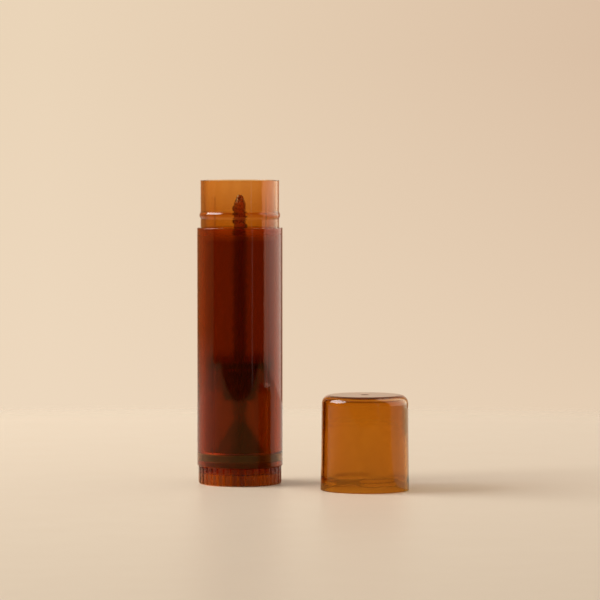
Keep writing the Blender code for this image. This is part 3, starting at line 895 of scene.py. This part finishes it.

# %% [markdown]
# ## The table
#
# The table is a smooth warm beige, softly glossy, with painted light: its colour is painted lighter with
# distance until it can't be told from the backdrop. A disc does for it, with its rim faded by Alpha. What
# the plastic mirrors of the table matters as much as the table itself: beside the tube it is in shade,
# and a mirror shows that. So for rays that a shiny surface sends out, the table is plain light of its
# own, darker on some sides.

# %% Helpers for directions and graded colours
def compass(tree, x, y):
    """A direction about Z in degrees: 0 towards -Y, where the picture was taken from, 90 towards +X."""
    return times(tree, calc(tree, "ARCTAN2", x, times(tree, y, -1.0)), 180 / math.pi)


def graded(tree, value, low, high, stops):
    """A colour ramp over a value, from stops of (value, colour)."""
    ramp = tree.nodes.new("ShaderNodeValToRGB")
    feed(tree, ramp.inputs[0], ranged(tree, value, low, high))
    elements = ramp.color_ramp.elements
    for index, (place, colour) in enumerate(stops):
        element = elements[index] if index < 2 else elements.new(1.0)
        element.position = (place - low) / (high - low)
        element.color = (*colour, 1)
    return ramp.outputs["Color"]


def all_round(tree, azimuth, stops):
    """A colour ramp over every direction about Z."""
    return graded(tree, azimuth, -180, 180, stops)


# %% The table's finish
# The beige near and far, with painted light: darker near, lighter far.
FLOOR_NEAR, FLOOR_FAR = (0.73, 0.592, 0.439), (0.925, 0.76, 0.573)
FLOOR_NEAR_Y, FLOOR_FAR_Y = -0.17, 0.19
FLOOR_MOTTLE = (0.985, 0.985, 0.985)
FLOOR_GRAIN_SCALE = 90.0
GRAIN_LOW, GRAIN_HIGH = 0.3, 0.7
FLOOR_GLOSSIEST, FLOOR_DULLEST = 0.38, 0.42


def table_finish(tree, shader, coordinate):
    """Beige with painted light, lighter with distance, faintly mottled, with a soft gloss."""
    y = xyz(tree, coordinate)[1]
    grain = noise(tree, coordinate, FLOOR_GRAIN_SCALE, detail=3.0, roughness=0.5)
    beige_with_painted_light = graded(tree, y, FLOOR_NEAR_Y, FLOOR_FAR_Y, [(FLOOR_NEAR_Y, FLOOR_NEAR), (FLOOR_FAR_Y, FLOOR_FAR)])
    mottle = mixed(tree, grain, WHITE, FLOOR_MOTTLE)
    feed(tree, shader.inputs["Base Color"], mixed(tree, 1.0, beige_with_painted_light, mottle, "MULTIPLY"))
    feed(tree, shader.inputs["Roughness"], ranged(
        tree, grain, GRAIN_LOW, GRAIN_HIGH, FLOOR_GLOSSIEST, FLOOR_DULLEST))


# %% The table as the plastic mirrors it
MIRRORED_REACH = 0.36
MIRRORED_FRONT_Y = -0.22
FOOT_NEAR, FOOT_FAR = 0.02, 0.045
MIRRORED_FLOOR = [(-150, (0.7, 0.6, 0.45)), (-95, (0.55, 0.41, 0.29)), (-55, (0.35, 0.24, 0.11)),
                  (0, (0.25, 0.17, 0.05)), (68, (0.25, 0.17, 0.05)), (70, (0.5, 0.46, 0.34)),
                  (110, (0.66, 0.62, 0.47)), (150, (0.78, 0.72, 0.58))]
MIRRORED_FOOT = [(-150, (0.95, 0.72, 0.46)), (-60, (0.5, 0.33, 0.15)), (0, (0.25, 0.17, 0.05)),
                 (60, (0.2, 0.12, 0.05)), (150, (0.3, 0.2, 0.12))]


def mirrored_table(tree, coordinate):
    """The table's own light for shiny surfaces, with one ramp at the tube's foot and one further out."""
    x, y = xyz(tree, coordinate)[:2]
    away = put(tree, "ShaderNodeVectorMath", coordinate, operation="LENGTH", out=1)
    around = compass(tree, x, y)
    at_foot = ranged(tree, away, FOOT_NEAR, FOOT_FAR, 1.0, 0.0)
    shown = tree.nodes.new("ShaderNodeEmission")
    feed(tree, shown.inputs["Color"], mixed(
        tree, at_foot, all_round(tree, around, MIRRORED_FLOOR), all_round(tree, around, MIRRORED_FOOT)))
    near = times(tree, calc(tree, "LESS_THAN", away, MIRRORED_REACH),
                calc(tree, "GREATER_THAN", y, MIRRORED_FRONT_Y))
    clear = put(tree, "ShaderNodeBsdfTransparent")
    return put(tree, "ShaderNodeMixShader", near, clear, shown.outputs[0])


# %% The table's material
FLOOR_RADIUS = 0.352
FLOOR_FADE = 0.045
FLOOR_MIDDLE_Y = -0.155


def floor_material():
    """The table's finish, faded out at its rim, with its own light for what mirrors it."""
    material = bpy.data.materials.new("table_top")
    material.use_nodes = True
    tree = material.node_tree
    shader = tree.nodes["Principled BSDF"]
    coordinate = put(tree, "ShaderNodeTexCoord", out="Object")
    table_finish(tree, shader, coordinate)
    offset = put(tree, "ShaderNodeVectorMath", coordinate, (0.0, FLOOR_MIDDLE_Y, 0.0), operation="SUBTRACT")
    reach = put(tree, "ShaderNodeVectorMath", offset, operation="LENGTH", out=1)
    fade = ranged(tree, reach, FLOOR_RADIUS - FLOOR_FADE, FLOOR_RADIUS, 1.0, 0.0, kind="SMOOTHSTEP")
    feed(tree, shader.inputs["Alpha"], fade)
    path = tree.nodes.new("ShaderNodeLightPath").outputs
    reflected = calc(tree, "GREATER_THAN", path["Is Glossy Ray"], path["Is Transmission Ray"])
    mirrored = mirrored_table(tree, coordinate)
    surface = put(tree, "ShaderNodeMixShader", reflected, shader.outputs[0], mirrored)
    feed(tree, tree.nodes["Material Output"].inputs["Surface"], surface)
    return material


# %% Table top
FLOOR_Z = -0.02 * MM
FLOOR_SIDE_STEP = 4

ring = [math.radians(angle) for angle in range(0, 360, FLOOR_SIDE_STEP)]
floor_mesh = bpy.data.meshes.new("table_top")
floor_mesh.from_pydata(
    [(FLOOR_RADIUS * math.cos(a), FLOOR_MIDDLE_Y + FLOOR_RADIUS * math.sin(a), FLOOR_Z) for a in ring], [],
    [list(range(len(ring)))])
floor_mesh.materials.append(floor_material())
placed("table_top", floor_mesh)
print("table top", round(2 * FLOOR_RADIUS, 3), "m across")

# %% [markdown]
# ## The studio round the tube
#
# Clear plastic shows what stands behind it, bent through its walls, and what stands round it, mirrored on
# its skin. So the world has a colour for each direction. Past the plastic the eye sees a beige backdrop.
# The skin mirrors a dark room with a brown panel on the left, a thin strip light in front and a bright
# wall on the right. The walls bend a dimmer room into view. Every other ray gets one plain level, so that
# the table is lit evenly.
#
# Each height on the tube mirrors its own angle below the horizon, from about 5 degrees at the foot to
# about 1 on the neck. So the room is graded by these small angles too.

# %% The backdrop
BACK_HIGH_LEFT, BACK_HIGH_RIGHT = (0.824, 0.66, 0.48), (0.70, 0.52, 0.372)
BACK_LOW_LEFT, BACK_LOW_RIGHT = (0.855, 0.69, 0.517), (0.795, 0.625, 0.458)
BACK_LEFT_X, BACK_RIGHT_X = -0.07, 0.09
BACK_LOW_Z, BACK_HIGH_Z = -0.09, 0.02


def backdrop_colour(tree, x, z):
    """Beige that deepens to the right and upwards, over the X and Z of a direction."""
    across = ranged(tree, x, BACK_LEFT_X, BACK_RIGHT_X)
    upward = ranged(tree, z, BACK_LOW_Z, BACK_HIGH_Z)
    low = mixed(tree, across, BACK_LOW_LEFT, BACK_LOW_RIGHT)
    high = mixed(tree, across, BACK_HIGH_LEFT, BACK_HIGH_RIGHT)
    return mixed(tree, upward, low, high)


# %% Bands of height and direction
MIRRORED_AT_ELEVATOR, MIRRORED_AT_SHOULDER, MIRRORED_AT_NECK = -4.0, -1.7, -1.2
LIFT_AT_ELEVATOR, LIFT_AT_SHOULDER, LIFT_AT_NECK = 0.9, 1.2, 1.35
LEFT_TABLE_TOP, LEFT_TABLE_FULL = -3.2, -4.2
LEFT_PANEL_EDGE = -76.0
BACKDROP_STARTS, BACKDROP_FULL = 158.0, 168.0


def scaled(tree, colour, factor):
    """A colour made brighter or darker."""
    return put(tree, "ShaderNodeVectorMath", colour, factor, operation="SCALE")


def room_bands(tree, azimuth, height):
    """How much brighter the room gets upwards, where the table shows on its left, and where it ends."""
    body = ranged(tree, height, MIRRORED_AT_ELEVATOR, MIRRORED_AT_SHOULDER,
                  LIFT_AT_ELEVATOR, LIFT_AT_SHOULDER)
    neck_too = ranged(tree, height, MIRRORED_AT_SHOULDER, MIRRORED_AT_NECK, 1.0, LIFT_AT_NECK)
    left_table = times(tree, ranged(tree, height, LEFT_TABLE_TOP, LEFT_TABLE_FULL),
                      calc(tree, "LESS_THAN", azimuth, LEFT_PANEL_EDGE))
    behind = ranged(tree, calc(tree, "ABSOLUTE", azimuth), BACKDROP_STARTS, BACKDROP_FULL)
    return times(tree, body, neck_too), left_table, behind


# %% The room that the skin mirrors
DARK, LEFT_PANEL, STRIP = (0.015, 0.012, 0.008), (0.33, 0.17, 0.055), (0.33, 0.33, 0.33)
ROOM = [(-76, LEFT_PANEL), (-72, DARK),
        (33, DARK), (33.8, STRIP), (35.4, STRIP), (36.2, DARK),
        (68.2, DARK), (69.4, (1.65, 0.8, 0.5)), (90, (1.55, 1.05, 0.84)), (112, (1.35, 1.2, 0.98)),
        (143, (1.35, 1.38, 1.18)), (150, (0.35, 0.25, 0.15))]
LEFT_FLOOR = (0.52, 0.46, 0.32)
ROOM_BOTTOM, ROOM_TOP, ROOM_SOFT = -40.0, 70.0, 5.0
UPPER_WALL_STARTS, UPPER_WALL_FULL, UPPER_WALL_LEVEL = 14.0, 26.0, 0.35


def mirrored_room(tree, azimuth, height, backdrop, bands):
    """The room by direction, dark far up and far down, with the backdrop behind the tube."""
    lift, left_table, behind = bands
    room = scaled(tree, all_round(tree, azimuth, ROOM), lift)
    room = mixed(tree, left_table, room, LEFT_FLOOR)
    above = ranged(tree, height, ROOM_BOTTOM - ROOM_SOFT, ROOM_BOTTOM + ROOM_SOFT, kind="SMOOTHSTEP")
    under = ranged(tree, height, ROOM_TOP - ROOM_SOFT, ROOM_TOP + ROOM_SOFT, 1.0, 0.0, kind="SMOOTHSTEP")
    room = mixed(tree, times(tree, above, under), DARK, room)
    upper_wall = ranged(tree, height, UPPER_WALL_STARTS, UPPER_WALL_FULL, 1.0, UPPER_WALL_LEVEL)
    return mixed(tree, behind, room, scaled(tree, backdrop, upper_wall))


# %% The room that the walls bend into view
BESIDE = [(-150, (0.29, 0.22, 0.11)), (-90, (0.28, 0.2, 0.1)), (-60, (0.3, 0.2, 0.12)),
          (60, (0.3, 0.2, 0.12)), (90, (0.34, 0.32, 0.26)), (150, (0.48, 0.5, 0.42))]
BESIDE_FLOOR = (0.58, 0.4, 0.22)
BESIDE_LIFT_AT_NECK = 1.2


def bent_room(tree, azimuth, height, backdrop, bands):
    """The dimmer room beside the tube, with the backdrop behind it."""
    lift, left_table, behind = bands
    upper = ranged(tree, height, MIRRORED_AT_SHOULDER, MIRRORED_AT_NECK, 1.0, BESIDE_LIFT_AT_NECK)
    beside = scaled(tree, all_round(tree, azimuth, BESIDE), times(tree, lift, upper))
    return mixed(tree, behind, mixed(tree, left_table, beside, BESIDE_FLOOR), backdrop)


# %% The world
FILL_LEVEL = 0.46


def studio_world():
    """The backdrop for the eye, a room for what the skin mirrors, another for what the walls bend, and
    a plain level of light for everything else."""
    world = bpy.data.worlds.new("studio")
    world.use_nodes = True
    tree = world.node_tree
    x, y, z = xyz(tree, put(tree, "ShaderNodeTexCoord", out="Generated"))
    azimuth = compass(tree, x, y)
    height = times(tree, calc(tree, "ARCSINE", z), 180 / math.pi)
    backdrop = backdrop_colour(tree, x, z)
    bands = room_bands(tree, azimuth, height)

    path = tree.nodes.new("ShaderNodeLightPath").outputs
    seen = mixed(tree, path["Is Glossy Ray"], backdrop, mirrored_room(tree, azimuth, height, backdrop, bands))
    seen = mixed(tree, path["Is Transmission Ray"], seen, bent_room(tree, azimuth, height, backdrop, bands))
    clear_path = calc(tree, "MAXIMUM", path["Is Glossy Ray"], path["Is Transmission Ray"])
    sharp = calc(tree, "MAXIMUM", path["Is Camera Ray"], clear_path)
    feed(tree, tree.nodes["Background"].inputs["Color"], mixed(tree, sharp, (FILL_LEVEL,) * 3, seen))
    return world


bpy.context.scene.world = studio_world()
counted(bpy.context.scene.world.node_tree)

# %% [markdown]
# ## The key lamp
#
# One large soft lamp stands high on the left and casts the soft shadows to the right. Seen through the
# plastic's rough inside, it would draw a bright line in the barrel's groove, so it is hidden from rays
# that the plastic lets through.

# %% Key lamp
KEY_AZIMUTH, KEY_ELEVATION, KEY_DISTANCE = -92, 36, 1.2
KEY_WIDTH, KEY_HEIGHT, KEY_POWER = 1.0, 0.6, 16.0
AIM_HEIGHT = 0.03

lamp = bpy.data.lights.new("key", "AREA")
lamp.shape, lamp.size, lamp.size_y = "RECTANGLE", KEY_WIDTH, KEY_HEIGHT
lamp.energy = KEY_POWER
key = placed("key", lamp)
turn, rise = math.radians(KEY_AZIMUTH), math.radians(KEY_ELEVATION)
key.location = (KEY_DISTANCE * math.sin(turn) * math.cos(rise),
                -KEY_DISTANCE * math.cos(turn) * math.cos(rise), KEY_DISTANCE * math.sin(rise) + AIM_HEIGHT)
key.rotation_euler = (math.pi / 2 - rise, 0.0, turn)
key.visible_transmission = False
print("key lamp at", [round(part, 2) for part in key.location], "m")

# %% [markdown]
# ## The camera
#
# The open ellipses of the dial, the cap and the rim gave the camera: a long lens, 0.68 m in front, a
# little above the rim and tilted slightly down. A long lens keeps the tube's sides parallel.

# %% Camera
SENSOR_WIDTH, FOCAL_LENGTH = 36, 218.4
CAMERA_PLACE = (0.01124, -0.680, 0.0665)
CAMERA_TILT = 2.7076
CLIP_START = 0.01

camera_data = bpy.data.cameras.new("camera")
camera_data.sensor_width = SENSOR_WIDTH
camera_data.lens = FOCAL_LENGTH
camera_data.clip_start = CLIP_START
camera = placed("camera", camera_data)
camera.location = CAMERA_PLACE
camera.rotation_euler = (math.radians(90 - CAMERA_TILT), 0.0, 0.0)
bpy.context.scene.camera = camera
print("camera sees", round(math.degrees(camera_data.angle), 2), "degrees")

# %% [markdown]
# ## Render settings
#
# A ray that goes through the barrel, the elevator and the screw crosses a dozen surfaces and more, so it
# gets many bounces, or the middle of the tube turns black. A little blur on glossy paths keeps the noise
# down. The view is Standard, so a colour comes out as it is written.

# %% Render settings
MOST_BOUNCES, GLOSSY_BOUNCES = 32, 16
GLOSSY_BLUR = 0.1

scene = bpy.context.scene
scene.view_settings.view_transform = "Standard"
scene.cycles.max_bounces = MOST_BOUNCES
scene.cycles.transmission_bounces = MOST_BOUNCES
scene.cycles.glossy_bounces = GLOSSY_BOUNCES
scene.cycles.blur_glossy = GLOSSY_BLUR
print("light may bounce", scene.cycles.max_bounces, "times")
